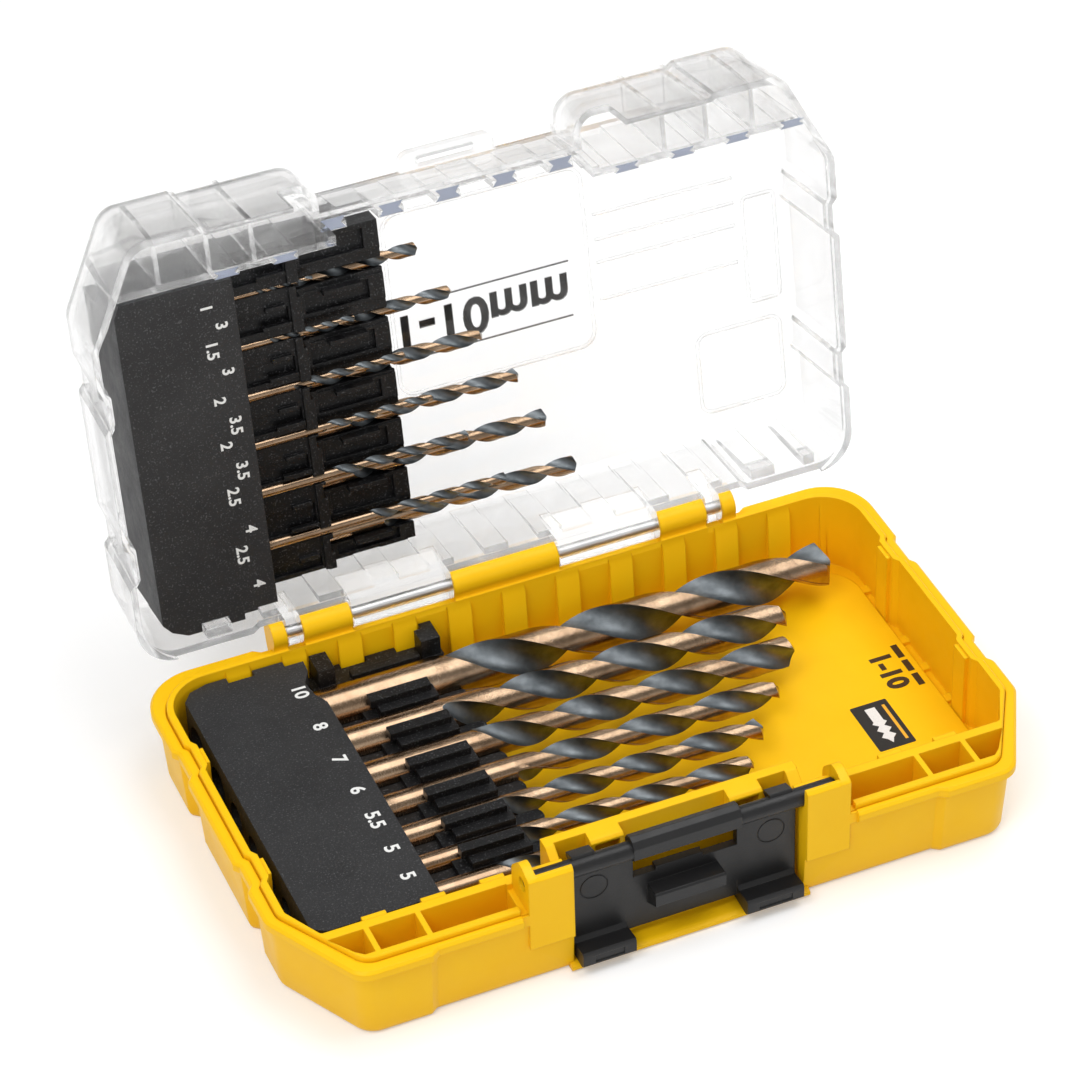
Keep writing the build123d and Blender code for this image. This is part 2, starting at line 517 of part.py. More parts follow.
def base_bit_rack():
    x0, x1 = BLOCK_X1 - 24.0, RACK_X1
    ys = [v[4] for v in BASE_BITS.values()]
    rs = [v[0] / 2 for v in BASE_BITS.values()]
    deck = box(x0, x1 - 3.4, -34.6, 41.4, PANEL_Z, GAP_PLATE_Z - 2.2)
    out = deck
    edges = []
    for i in range(6):
        a = ys[i + 1] + rs[i + 1] - 1.0
        b = ys[i] - rs[i] + 1.0
        edges.append((a, b))
        mid = (a + b) / 2
        wide = max(b - a, 3.6) / 2
        plate = box(x0, x1 - wide, mid - wide, mid + wide, PANEL_Z, GAP_PLATE_Z)
        plate = plate + Pos(x1 - wide, mid, (GAP_PLATE_Z + 6.0) / 2) * Cylinder(wide, GAP_PLATE_Z - 6.0)
        bar = box(-41.2, -24.8, mid - wide * 0.75, mid + wide * 0.75, GAP_PLATE_Z - 0.2, 12.8)
        bar = bar + box(-38.2, -24.9, mid - wide * 0.7, mid + wide * 0.9, 12.6, 14.6)
        bar = bar + box(-39.6, -25.8, mid + wide * 0.1, mid + wide * 1.15, 14.4, 16.4)
        out = out + plate + bar
    y_back = ys[0] + rs[0] - 0.6
    back = box(x0, -18.6, y_back, 45.4, PANEL_Z, GAP_PLATE_Z) + box(BLOCK_X1 + 0.1, -18.6, y_back, 45.4, PANEL_Z, 14.0)
    back = back + box(-39.8, -24.2, y_back - 0.2, y_back + 1.8, 13.8, 15.4)
    back = back + box(-47.2, -43.4, y_back + 0.4, 45.4, 13.8, 18.6) + box(-23.6, -19.2, y_back + 0.4, 45.4, 13.8, 18.6)
    front = box(x0, x1 - 3.0, -34.6, ys[6] - rs[6] + 0.8, PANEL_Z, GAP_PLATE_Z)
    out = out + back + front
    cuts = [bit_slot(v[0], v[4], -90, 80, BASE_BIT_Z, 0.72) for v in BASE_BITS.values()]
    cuts += back_notches()
    cuts += [box(x - RIB_W / 2 - 0.25, x + RIB_W / 2 + 0.25, -60, TAB_Y + 1.0, 0, 40) for x in rib_xs()]
    return cut(out, cuts)


def base_label_block():
    pts = [(BLOCK_X0, -33.2), (BLOCK_X0, 41.6), (-74.4, 44.2), (-70.4, 45.4), (BLOCK_X1, 45.4), (BLOCK_X1 - 0.3, 40.4),
           (BLOCK_X1 - 2.2, 36.8), (BLOCK_X1 - 1.6, 32.6), (BLOCK_X1, 29.4), (BLOCK_X1, -35.0), (-73.4, -35.0)]
    block = prism(pts, GAP_PLATE_Z + 0.05, BLOCK_Z)
    ends = box(BLOCK_X0, -73.2, -33.2, 41.4, PANEL_Z + 0.05, GAP_PLATE_Z + 0.1)
    block = block + ends
    cuts = [rod_x(-90, 0, v[4], BASE_BIT_Z, v[0] / 2 + SHANK_GAP) for v in BASE_BITS.values()]
    cuts += back_notches(2)
    cuts += [box(x - RIB_W / 2 - 0.25, x + RIB_W / 2 + 0.25, -60, TAB_Y + 0.7, 0, 40) for x in rib_xs(0, 2)]
    return cut(block, cuts)


# ---------------------------------------------------------------- lid rack and block (drawn closed)
ROWS = [(-25.4, 3.0), (-13.6, 3.0), (-1.6, 3.5), (10.0, 3.5), (21.8, 4.0), (34.9, 4.0)]
LID_RACK_Z0, LID_RACK_Z1 = 33.6, 42.0


def lid_bit_rack():
    x0 = -74.0
    slab = box(x0, LID_RACK_X1, -34.6, 42.4, LID_RACK_Z0, LID_RACK_Z1)
    low = box(-52.0, -35.6, -34.6, 42.4, 31.2, LID_RACK_Z0 + 0.1)
    out = slab + low
    tops = [y for y, d in ROWS]
    for i, y in enumerate(tops):
        lo = y + 3.9
        hi = tops[i + 1] - 3.5 if i < 5 else 41.4
        out = out - box(-49.4, -37.8, lo, hi, 30, 32.4) - box(-33.4, -19.0, lo, hi, 30, 34.8)
    out = out - box(-49.4, -37.8, -33.4, tops[0] - 3.3, 30, 32.4) - box(-33.4, -19.0, -33.4, tops[0] - 3.3, 30, 34.8)
    out = out + box(-37.4, -35.0, -34.6, 42.4, 30.4, 34.0)
    cuts = []
    for name, (d, length, flute, tip, y, z) in LID_BITS.items():
        r = d / 2 + SHANK_GAP
        x_from = tip - length - 3.0
        cuts.append(rod_x(x_from, 60, y, z, r))
        depth = 12 if z > 34 else 8
        mouth = -35.8 if z > 34 else -90
        cuts.append(box(mouth, 60, y - r * 0.8, y + r * 0.8, z - depth, z))
    for y, d in ROWS:
        cuts.append(box(-33.4, -15.0, y - 2.6, y + 3.2, 30, 33.9))
    cuts += [box(x - RIB_W / 2 - 0.3, x + RIB_W / 2 + 0.3, 42.2, 60, 20, 50) for x in rib_xs(off=LID_RIB_OFF)]
    out = cut(out, cuts)
    tabs = []
    for i, (y, d) in enumerate(ROWS):
        tabs.append(box(-43.0, -38.6, y + 2.9, y + 3.9, 30.2, 31.4))
        tabs.append(box(-29.6, -21.0, y + 3.2, y + 4.3, 31.6, 33.9))
        tabs.append(box(-44.0, -37.6, y - 4.6, y - 3.7, 30.2, 31.4))
    return turn_lid(out + join(tabs))


def lid_label_block():
    pts = [(-76.6, -32.6), (-76.6, 40.4), (-74.8, 42.6), (-71.4, 44.3), (-58.6, 44.3), (-58.6, 42.9), (LID_BLOCK_X1, 42.9), (LID_BLOCK_X1, -35.4),
           (-75.2, -35.4)]
    block = prism(pts, LID_BLOCK_Z, 33.5)
    ends = box(-76.6, -74.2, -32.0, 40.0, 33.4, 42.0)
    block = block + ends
    cuts = []
    for name, (d, length, flute, tip, y, z) in LID_BITS.items():
        if z < 34:
            cuts.append(rod_x(-73.0, 0, y, z, d / 2 + SHANK_GAP))
            cuts.append(box(-73.0, 0, y - d / 2 - SHANK_GAP, y + d / 2 + SHANK_GAP, z, 36))
    cuts.append(box(-52.1, -40, -60, 60, 31.1, 40))
    cuts += [box(x - RIB_W / 2 - 0.3, x + RIB_W / 2 + 0.3, 42.3, 60, 20, 50) for x in rib_xs(0, 2, LID_RIB_OFF)]
    cuts += [box(x - RIB_W / 2 - 0.3, x + RIB_W / 2 + 0.3, -60, -35.0, 20, 50) for x in rib_xs(1, 2, LID_RIB_OFF)]
    return turn_lid(cut(block, cuts))


# ---------------------------------------------------------------- twist drills
def drill_section(r):
    """A round section with two flutes."""
    section = Circle(r * 0.985)
    for s in (-1, 1):
        section = section - Pos(0, s * r * FLUTE_OUT) * Circle(r * FLUTE_R)
    return section.face()


def drill_solid(d, length, flute):
    """A drill along +X with its tip at the origin: a twisted section, a blunt point and a plain shank."""
    r = d / 2
    point = r * POINT
    span = flute - point
    end = length - flute
    back = d * 0.06
    turn = 360 * span / (d * FLUTE_PITCH)
    twist = Solid.extrude_linear_with_rotation(drill_section(r), (0, 0, 0), (0, 0, span), turn)
    shank = Pos(0, 0, (back - end) / 2) * Cylinder(r, end - back) + Pos(0, 0, back / 2 - end) * Cylinder(r * 0.94, back)
    ends = [Pos(0, 0, span) * Rot(0, 0, turn) * drill_section(r), Pos(0, 0, flute) * Rot(0, 0, turn) * drill_section(r * 0.35)]
    return Pos(-flute, 0, 0) * Rot(0, 90, 0) * (twist + shank + loft(ends, ruled=True))


def place_bit(spec):
    if len(spec) == 5:
        d, length, flute, tip, y = spec
        return Pos(tip, y, BASE_BIT_Z) * drill_solid(d, length, flute)
    d, length, flute, tip, y, z = spec
    return turn_lid(Pos(tip, y, z) * drill_solid(d, length, flute))


# ---------------------------------------------------------------- write the parts
save(base_tray(), "base_tray")
save(lid(), "lid")
save(rod_x(-53.3, 53.3, HINGE_Y, HINGE_Z, PIN_R), "hinge_pin")
save(latch(), "latch")
save(base_bit_rack(), "base_bit_rack")
save(base_label_block(), "base_label_block")
save(lid_bit_rack(), "lid_bit_rack")
save(lid_label_block(), "lid_label_block")
for bit_name, bit_spec in list(BASE_BITS.items()) + list(LID_BITS.items()):
    save(place_bit(bit_spec), bit_name)
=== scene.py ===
import math

import bpy
import numpy as np
from mathutils import Matrix, Vector

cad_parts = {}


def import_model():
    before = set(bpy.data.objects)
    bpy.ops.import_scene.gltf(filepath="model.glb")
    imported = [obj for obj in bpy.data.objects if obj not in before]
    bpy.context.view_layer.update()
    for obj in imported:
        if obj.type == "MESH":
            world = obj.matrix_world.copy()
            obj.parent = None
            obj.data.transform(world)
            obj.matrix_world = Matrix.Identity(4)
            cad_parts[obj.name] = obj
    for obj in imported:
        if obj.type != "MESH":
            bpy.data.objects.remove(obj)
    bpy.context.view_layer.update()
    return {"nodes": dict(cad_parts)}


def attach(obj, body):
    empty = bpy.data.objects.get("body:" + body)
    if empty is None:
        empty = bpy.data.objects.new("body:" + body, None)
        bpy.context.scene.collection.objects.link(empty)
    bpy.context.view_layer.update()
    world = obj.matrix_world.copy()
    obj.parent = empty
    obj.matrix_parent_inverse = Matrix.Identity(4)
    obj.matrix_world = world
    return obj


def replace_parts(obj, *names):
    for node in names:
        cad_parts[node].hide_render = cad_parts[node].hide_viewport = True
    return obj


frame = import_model()
NODES = frame["nodes"]
MM = 0.001

# ---------------------------------------------------------------- sizes shared with the solids (mm)
HINGE_Y, HINGE_Z, OPEN = 49.85, 23.25, 99.6
BASE_BIT_Z = 11.5
BLOCK_Z = 19.2            # top of the tray's label block
PANEL_Z = 3.2             # top of the tray's raised floor
LID_BLOCK_Z = 23.6        # open face of the lid's label block, lid closed
LID_TOP = 44.0            # outer face of the lid, closed

PITCH = 12.7              # spacing of the lid's ribs
RIB_OFF = 4.7             # middle of the lid's rib row
LATCH_X = -0.3            # middle of the latch recess
BOX_X = 28.6              # inner end of the lid's front boxes
LID_TURN = 5.8            # length of one turn of a lid bit's flutes, in diameters

# name: diameter, overall length, flute length, tip x, y,
# length of one turn and first angle of the section at the tip
BASE_BITS = {
    "bit_10": (10.0, 133.0, 87.0, 71.6, 34.7, 54.5, 19),
    "bit_8": (8.0, 117.0, 75.0, 55.0, 22.6, 42.9, 158),
    "bit_7": (7.0, 109.0, 69.0, 51.6, 11.4, 39.0, 113),
    "bit_6": (6.0, 93.0, 57.0, 43.0, 1.0, 35.4, 155),
    "bit_5_5": (5.5, 93.0, 57.0, 34.6, -8.9, 30.8, 0),
    "bit_5_a": (5.0, 86.0, 52.0, 28.0, -18.2, 29.9, 137),
    "bit_5_b": (5.0, 86.0, 52.0, 21.5, -27.0, 29.9, 80),
}
# name: diameter, overall length, flute length, tip x, y, z (lid closed), first angle
LID_BITS = {
    "bit_1": (1.0, 34.0, 12.0, -31.5, -26.3, 31.6, 0),
    "bit_1_5": (1.5, 40.0, 18.0, -23.5, -14.6, 31.6, 30),
    "bit_2_a": (2.0, 49.0, 24.0, -13.5, -2.8, 31.6, 60),
    "bit_2_b": (2.0, 49.0, 24.0, -8.5, 8.8, 31.6, 90),
    "bit_2_5_a": (2.5, 57.0, 30.0, -1.5, 20.2, 31.6, 120),
    "bit_2_5_b": (2.5, 57.0, 30.0, 6.0, 33.0, 31.6, 150),
    "bit_3_a": (3.0, 61.0, 33.0, -6.8, -24.6, 35.6, 20),
    "bit_3_b": (3.0, 61.0, 33.0, -0.4, -12.6, 35.6, 50),
    "bit_3_5_a": (3.5, 70.0, 39.0, 5.4, -0.4, 35.6, 80),
    "bit_3_5_b": (3.5, 70.0, 39.0, 12.6, 11.4, 35.6, 110),
    "bit_4_a": (4.0, 75.0, 43.0, 18.0, 23.4, 35.6, 140),
    "bit_4_b": (4.0, 75.0, 43.0, 23.8, 36.8, 35.6, 170),
}

HINGE = Matrix.Translation(Vector((0, HINGE_Y, HINGE_Z)) * MM)
LID_OPEN = HINGE @ Matrix.Rotation(math.radians(-OPEN), 4, "X") @ HINGE.inverted()


# ---------------------------------------------------------------- materials
def node(tree, kind, **inputs):
    n = tree.nodes.new(kind)
    for key, value in inputs.items():
        n.inputs[key.replace("_", " ")].default_value = value
    return n


def coordinates(tree, scale=(1, 1, 1)):
    tex = tree.nodes.new("ShaderNodeTexCoord")
    mapping = tree.nodes.new("ShaderNodeMapping")
    mapping.inputs["Scale"].default_value = scale
    tree.links.new(tex.outputs["Object"], mapping.inputs["Vector"])
    return mapping.outputs["Vector"]


def noise(tree, vector, scale, detail=3.0, roughness=0.5):
    n = node(tree, "ShaderNodeTexNoise", Scale=scale, Detail=detail, Roughness=roughness)
    tree.links.new(vector, n.inputs["Vector"])
    return n.outputs["Fac"]


def ramp(tree, fac, low, high, start=0.3, end=0.7):
    n = tree.nodes.new("ShaderNodeMapRange")
    n.inputs["From Min"].default_value = start
    n.inputs["From Max"].default_value = end
    n.inputs["To Min"].default_value = low
    n.inputs["To Max"].default_value = high
    tree.links.new(fac, n.inputs["Value"])
    return n.outputs["Result"]


def mix_colour(tree, fac, a, b):
    n = tree.nodes.new("ShaderNodeMix")
    n.data_type = "RGBA"
    n.inputs["A"].default_value = (*a, 1)
    n.inputs["B"].default_value = (*b, 1)
    tree.links.new(fac, n.inputs["Factor"])
    return n.outputs["Result"]


def bump(tree, height, strength, distance, normal=None):
    n = node(tree, "ShaderNodeBump", Strength=strength, Distance=distance)
    tree.links.new(height, n.inputs["Height"])
    if normal is not None:
        tree.links.new(normal, n.inputs["Normal"])
    return n.outputs["Normal"]


def rounded_normal(tree, radius, samples=4):
    n = tree.nodes.new("ShaderNodeBevel")
    n.samples = samples
    n.inputs["Radius"].default_value = radius
    return n.outputs["Normal"]


def new_material(name):
    mat = bpy.data.materials.new(name)
    mat.use_nodes = True
    tree = mat.node_tree
    return mat, tree, tree.nodes["Principled BSDF"]


def plastic(name, light, dark, rough, grain, grain_scale, edge=0.00025, specular=0.5, speck=None):
    """Moulded plastic: cloudy colour, uneven gloss, fine grain, softened edges and, if given, pale specks."""
    mat, tree, bsdf = new_material(name)
    place = coordinates(tree)
    cloud = noise(tree, place, 60.0, 4.0, 0.6)
    colour = mix_colour(tree, ramp(tree, cloud, 0.0, 1.0), light, dark)
    if speck:
        dots = noise(tree, place, 2600.0, 1.0, 0.5)
        paler = mix_colour(tree, ramp(tree, dots, 0.0, 1.0, 0.60, 0.74), light, speck)
        tree.links.new(colour, paler.node.inputs["A"])
        colour = paler
    tree.links.new(colour, bsdf.inputs["Base Color"])
    patch = noise(tree, place, 190.0, 3.0, 0.6)
    tree.links.new(ramp(tree, patch, rough[0], rough[1]), bsdf.inputs["Roughness"])
    fine = noise(tree, place, grain_scale, 2.0, 0.5)
    edges = rounded_normal(tree, edge)
    tree.links.new(bump(tree, fine, grain, 0.00012, edges), bsdf.inputs["Normal"])
    bsdf.inputs["Specular IOR Level"].default_value = specular
    return mat


def clear_plastic(name):
    mat, tree, bsdf = new_material(name)
    place = coordinates(tree)
    bsdf.inputs["Base Color"].default_value = (0.930, 0.927, 0.922, 1)
    bsdf.inputs["Transmission Weight"].default_value = 1.0
    bsdf.inputs["IOR"].default_value = 1.28
    bsdf.inputs["Alpha"].default_value = 0.78
    bsdf.inputs["Coat Weight"].default_value = 0.6
    bsdf.inputs["Coat Roughness"].default_value = 0.05
    haze = noise(tree, place, 260.0, 3.0, 0.6)
    tree.links.new(ramp(tree, haze, 0.02, 0.09), bsdf.inputs["Roughness"])
    wave = noise(tree, place, 45.0, 2.0, 0.5)
    tree.links.new(bump(tree, wave, 0.25, 0.0004, rounded_normal(tree, 0.0003)), bsdf.inputs["Normal"])
    clear = tree.nodes.new("ShaderNodeBsdfTransparent")
    clear.inputs["Color"].default_value = (0.86, 0.88, 0.9, 1)
    path = tree.nodes.new("ShaderNodeLightPath")
    both = tree.nodes.new("ShaderNodeMixShader")
    tree.links.new(path.outputs["Is Shadow Ray"], both.inputs["Fac"])
    tree.links.new(bsdf.outputs["BSDF"], both.inputs[1])
    tree.links.new(clear.outputs["BSDF"], both.inputs[2])
    tree.links.new(both.outputs["Shader"], tree.nodes["Material Output"].inputs["Surface"])
    return mat


def metal(name, light, dark, rough, stretch, strength):
    """Ground steel: fine marks drawn out along one direction, in gloss and height, over a cloudy colour."""
    mat, tree, bsdf = new_material(name)
    bsdf.inputs["Metallic"].default_value = 1.0
    marks = noise(tree, coordinates(tree, stretch), 900.0, 3.0, 0.6)
    cloud = noise(tree, coordinates(tree), 160.0, 3.0, 0.6)
    tree.links.new(mix_colour(tree, ramp(tree, cloud, 0.0, 1.0), light, dark), bsdf.inputs["Base Color"])
    tree.links.new(ramp(tree, marks, rough[0], rough[1]), bsdf.inputs["Roughness"])
    tree.links.new(bump(tree, marks, strength, 0.00005), bsdf.inputs["Normal"])
    return mat


def print_ink(name, colour, rough=0.5):
    mat, tree, bsdf = new_material(name)
    wear = noise(tree, coordinates(tree), 3000.0, 3.0, 0.6)
    worn = tuple(0.85 * c + 0.01 for c in colour)
    mixed = mix_colour(tree, ramp(tree, wear, 0.0, 1.0, 0.45, 0.8), colour, worn)
    tree.links.new(mixed, bsdf.inputs["Base Color"])
    bsdf.inputs["Roughness"].default_value = rough
    return mat


YELLOW = plastic("yellow_plastic", (0.980, 0.570, 0.006), (0.955, 0.535, 0.004), (0.34, 0.44),
                 0.10, 1500.0, 0.0004, 0.18)
RACK = plastic("rack_plastic", (0.006, 0.006, 0.0065), (0.004, 0.004, 0.0045), (0.34, 0.48),
               0.5, 2200.0, 0.00025, 0.30, (0.075, 0.075, 0.078))
BLOCK = plastic("block_plastic", (0.027, 0.027, 0.028), (0.018, 0.018, 0.019), (0.44, 0.60),
                0.9, 1900.0, 0.00025, 0.40, (0.085, 0.085, 0.088))
LATCH = plastic("latch_plastic", (0.015, 0.0145, 0.015), (0.011, 0.011, 0.0115), (0.34, 0.46),
                0.25, 2400.0, 0.0003, 0.40)
CLEAR = clear_plastic("clear_plastic")
PIN = metal("pin_steel", (0.62, 0.62, 0.62), (0.50, 0.50, 0.50), (0.28, 0.42), (1, 40, 40), 0.2)
SHANK = metal("drill_shank", (0.46, 0.325, 0.215), (0.32, 0.21, 0.13), (0.15, 0.30), (30, 1, 1), 0.25)
LAND = metal("drill_land", (0.52, 0.37, 0.245), (0.27, 0.178, 0.11), (0.12, 0.28), (30, 1, 1), 0.6)
FLUTE = metal("drill_flute", (0.235, 0.258, 0.272), (0.095, 0.106, 0.114), (0.36, 0.54), (1, 6, 6), 0.9)
FLANK = metal("drill_flank", (0.46, 0.38, 0.31), (0.30, 0.23, 0.17), (0.22, 0.36), (4, 1, 1), 0.3)
# painted shade: the blue-grey that the clear rib ends show by refraction, painted as a colour
PAINTED_RIB_SHADE = plastic("lid_rib_end_painted_shade", (0.42, 0.46, 0.56), (0.30, 0.34, 0.45), (0.15, 0.25), 0.05, 1500.0)
WHITE_INK = print_ink("white_ink", (0.82, 0.82, 0.80))
BLACK_INK = print_ink("black_ink", (0.012, 0.012, 0.012))
BROWN_INK = print_ink("brown_ink", (0.040, 0.017, 0.003))
AMBER_INK = print_ink("amber_ink", (0.90, 0.45, 0.02))

NODE_MATERIALS = {
    "base_tray": YELLOW, "lid": CLEAR, "hinge_pin": PIN, "latch": LATCH, "base_bit_rack": RACK,
    "base_label_block": BLOCK, "lid_bit_rack": RACK, "lid_label_block": BLOCK,
}
for name, mat in NODE_MATERIALS.items():
    NODES[name].data.materials.clear()
    NODES[name].data.materials.append(mat)


def smooth_modifier():
    """A node group that joins split corners and shades smooth up to an angle."""
    group = bpy.data.node_groups.new("smooth_by_angle", "GeometryNodeTree")
    group.interface.new_socket("Geometry", in_out="INPUT", socket_type="NodeSocketGeometry")
    group.interface.new_socket("Geometry", in_out="OUTPUT", socket_type="NodeSocketGeometry")
    start = group.nodes.new("NodeGroupInput")
    end = group.nodes.new("NodeGroupOutput")
    weld = group.nodes.new("GeometryNodeMergeByDistance")
    weld.inputs["Distance"].default_value = 0.000002
    faces = group.nodes.new("GeometryNodeSetShadeSmooth")
    faces.domain = "FACE"
    faces.inputs["Shade Smooth"].default_value = True
    edges = group.nodes.new("GeometryNodeSetShadeSmooth")
    edges.domain = "EDGE"
    angle = group.nodes.new("GeometryNodeInputMeshEdgeAngle")
    small = group.nodes.new("FunctionNodeCompare")
    small.data_type = "FLOAT"
    small.operation = "LESS_EQUAL"
    small.inputs["B"].default_value = math.radians(32)
    group.links.new(angle.outputs["Unsigned Angle"], small.inputs["A"])
    group.links.new(start.outputs[0], weld.inputs["Geometry"])
    group.links.new(weld.outputs["Geometry"], faces.inputs["Geometry"])
    group.links.new(faces.outputs["Geometry"], edges.inputs["Geometry"])
    group.links.new(small.outputs["Result"], edges.inputs["Shade Smooth"])
    group.links.new(edges.outputs["Geometry"], end.inputs[0])
    return group


SMOOTH = smooth_modifier()
for name in NODE_MATERIALS:
    mod = NODES[name].modifiers.new("smooth", "NODES")
    mod.node_group = SMOOTH


# ---------------------------------------------------------------- twist drills
LAND_HALF = 35.0          # half angle of a land
BODY = 0.965              # land radius behind the margin
LIFT = 0.81               # how far the flute's floor rises to leave the shank
RUN_OUT = 1.5             # length of that rise, in diameters
LAND_POINTS, FLUTE_POINTS = 14, 22
CURVE_POINTS = 241        # fine steps along the flute's curve, before it is cut at the rim
RUN_OUT_RINGS = 36        # rings over the rise of the flute
RINGS_A_TURN = 40         # rings to one turn of the flute
TIP_HEIGHT = 0.44         # height of the point, in radii
TIP_FALL = 0.16           # fall of the flank behind the cutting edge, in radii
CHAMFER = 0.05            # chamfer of the shank's end, in diameters
SLOT = {"shank": 0, "land": 1, "flute": 2, "flank": 3}


def bezier(p0, p1, p2, p3, t):
    s = 1 - t
    return s ** 3 * p0 + 3 * s * s * t * p1 + 3 * s * t * t * p2 + t ** 3 * p3


def section(done):
    """Unit section: two lands and two flutes, the flutes lifted towards the rim by the share done."""
    rim = BODY + (1 - BODY) * done
    a = math.radians(LAND_HALF)
    lip = np.array([math.cos(a), math.sin(a)])
    heel = BODY * np.array([-math.cos(a), math.sin(a)])
    t = np.linspace(0, 1, CURVE_POINTS)
    curve = bezier(lip, np.array([0.34, 0.04]), np.array([-0.46, 0.06]), heel, t[:, None])
    curve = curve + np.array([0, LIFT * done])
    limit = np.where(t < 0.5, 1.0, rim) - 1e-4
    inside = np.nonzero(np.hypot(curve[:, 0], curve[:, 1]) < limit)[0]
    last = CURVE_POINTS - 1
    at = np.linspace(max(inside[0] - 1, 0), min(inside[-1] + 1, last), FLUTE_POINTS + 1)
    flute = np.stack([np.interp(at, np.arange(CURVE_POINTS), curve[:, k]) for k in (0, 1)], 1)
    high = math.atan2(flute[0, 1], flute[0, 0])
    low = math.atan2(flute[-1, 1], flute[-1, 0]) - math.pi
    behind = LAND_POINTS - 3
    angles = np.append(np.linspace(low, high - math.radians(9), behind), high - np.radians([8, 4, 0]))
    radii = np.append(np.full(behind, rim), [1.0, 1.0, 1.0])
    land = np.stack([radii * np.cos(angles), radii * np.sin(angles)], 1)
    half = np.concatenate([land, flute[1:-1]])
    return np.concatenate([half, -half])


def section_slots():
    """Material slot of each edge of the section."""
    half = [SLOT["land"]] * (LAND_POINTS - 1) + [SLOT["flute"]] * FLUTE_POINTS
    return half * 2


def section_falls():
    """How far each point of the tip lies behind the cutting edge, as a share."""
    t = np.arange(1, FLUTE_POINTS) / FLUTE_POINTS
    half = np.append(np.linspace(1, 0, LAND_POINTS), np.maximum(0.0, (t - 0.45) / 0.55) ** 2)
    return np.append(half, half)


def drill_mesh(name, d, length, flute, pitch, first):
    """A twist drill along +X with its point at the origin, in metres."""
    r = d / 2
    unit = section(0.0)
    slots = section_slots()
    falls = section_falls()
    n = len(unit)
    radius = np.hypot(unit[:, 0], unit[:, 1])
    turn = 2 * math.pi / pitch
    height = TIP_HEIGHT * r
    fall = TIP_FALL * r
    shoulder = -length + CHAMFER * d
    end = flute + RUN_OUT * d / 2
    begin = flute - RUN_OUT * d / 2
    start_x = -(height + fall) - 0.02 * d
    end_x = -height * radius - fall * falls
    verts, rings, kinds = [], [], []

    def ring(x, shape, kind):
        """x may differ from vertex to vertex; the shank doesn't turn."""
        x = np.broadcast_to(x, (n,))
        a = math.radians(first) + turn * np.maximum(x, -end)
        c, s = np.cos(a), np.sin(a)
        y = shape[:, 0] * c - shape[:, 1] * s
        z = shape[:, 0] * s + shape[:, 1] * c
        rings.append(len(verts))
        kinds.append(kind)
        verts.extend(np.stack([x, y * r, z * r], 1))

    last = section(1.0)
    circle = last / np.hypot(last[:, 0], last[:, 1])[:, None]
    ring(-length, circle * 0.93, "shank")
    for k in range(6):
        ring(shoulder + (-end - shoulder) * k / 6, circle, "shank")
    ring(-end - 0.01 * d, circle, "flute")
    for k in range(RUN_OUT_RINGS):
        share = 1 - k / RUN_OUT_RINGS
        ring(-begin - RUN_OUT * d * share, section(share * share), "flute")
    count = max(8, int((begin + start_x) / (pitch / RINGS_A_TURN)))
    for k in range(count + 1):
        ring(-begin + (begin + start_x) * k / count, unit, "flute")
    for k in range(1, 5):
        ring(start_x + (end_x - start_x) * k / 4, unit, "flute")
    kinds[-1] = "flank"
    for share in (0.55, 0.2):
        ring(end_x * share, unit * share, "flank")
    apex = len(verts)
    back = apex + 1
    verts.append(np.zeros(3))
    verts.append(np.array([-length, 0.0, 0.0]))
    faces, indices = [], []
    for i in range(len(rings) - 1):
        a, b = rings[i], rings[i + 1]
        for j in range(n):
            k = (j + 1) % n
            faces.append((a + j, a + k, b + k, b + j))
            indices.append(SLOT[kinds[i]] if kinds[i] != "flute" else slots[j])
    for j in range(n):
        k = (j + 1) % n
        faces.append((rings[-1] + j, rings[-1] + k, apex))
        indices.append(SLOT["flank"])
        faces.append((rings[0] + k, rings[0] + j, back))
        indices.append(SLOT["shank"])
    mesh = bpy.data.meshes.new(name)
    mesh.from_pydata((np.array(verts) * MM).tolist(), [], faces)
    for mat in (SHANK, LAND, FLUTE, FLANK):
        mesh.materials.append(mat)
    mesh.polygons.foreach_set("material_index", indices)
    mesh.polygons.foreach_set("use_smooth", [True] * len(faces))
    mesh.set_sharp_from_angle(angle=math.radians(38))
    mesh.validate()
    return mesh


def add_piece(name, mesh, body, place):
    """A piece that rides on a body and stands at the given place."""
    obj = bpy.data.objects.new(name, mesh)
    bpy.context.scene.collection.objects.link(obj)
    obj.matrix_world = place
    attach(obj, body)
    return obj


def add_drill(bit, mesh, tip, lid=Matrix.Identity(4)):
    place = lid @ Matrix.Translation(Vector(tip) * MM)
    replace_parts(add_piece(bit + "_drill", mesh, bit + "_body", place), bit)


for bit, (d, length, flute, x, y, turn, first) in BASE_BITS.items():
    add_drill(bit, drill_mesh(bit + "_drill", d, length, flute, turn, first), (x, y, BASE_BIT_Z))
for bit, (d, length, flute, x, y, z, first) in LID_BITS.items():
    add_drill(bit, drill_mesh(bit + "_drill", d, length, flute, LID_TURN * d, first), (x, y, z), LID_OPEN)


# ---------------------------------------------------------------- numbers and prints
FIGURE_HEIGHT = 0.70      # height of a figure in the built-in font, as a share of its size
UP = Matrix.Identity(4)   # the tray's own frame


def axes(x, y, z, origin):
    """A place from the directions of its axes and its origin in mm."""
    m = Matrix((x, y, z)).transposed().to_4x4()
    m.translation = Vector(origin) * MM
    return m


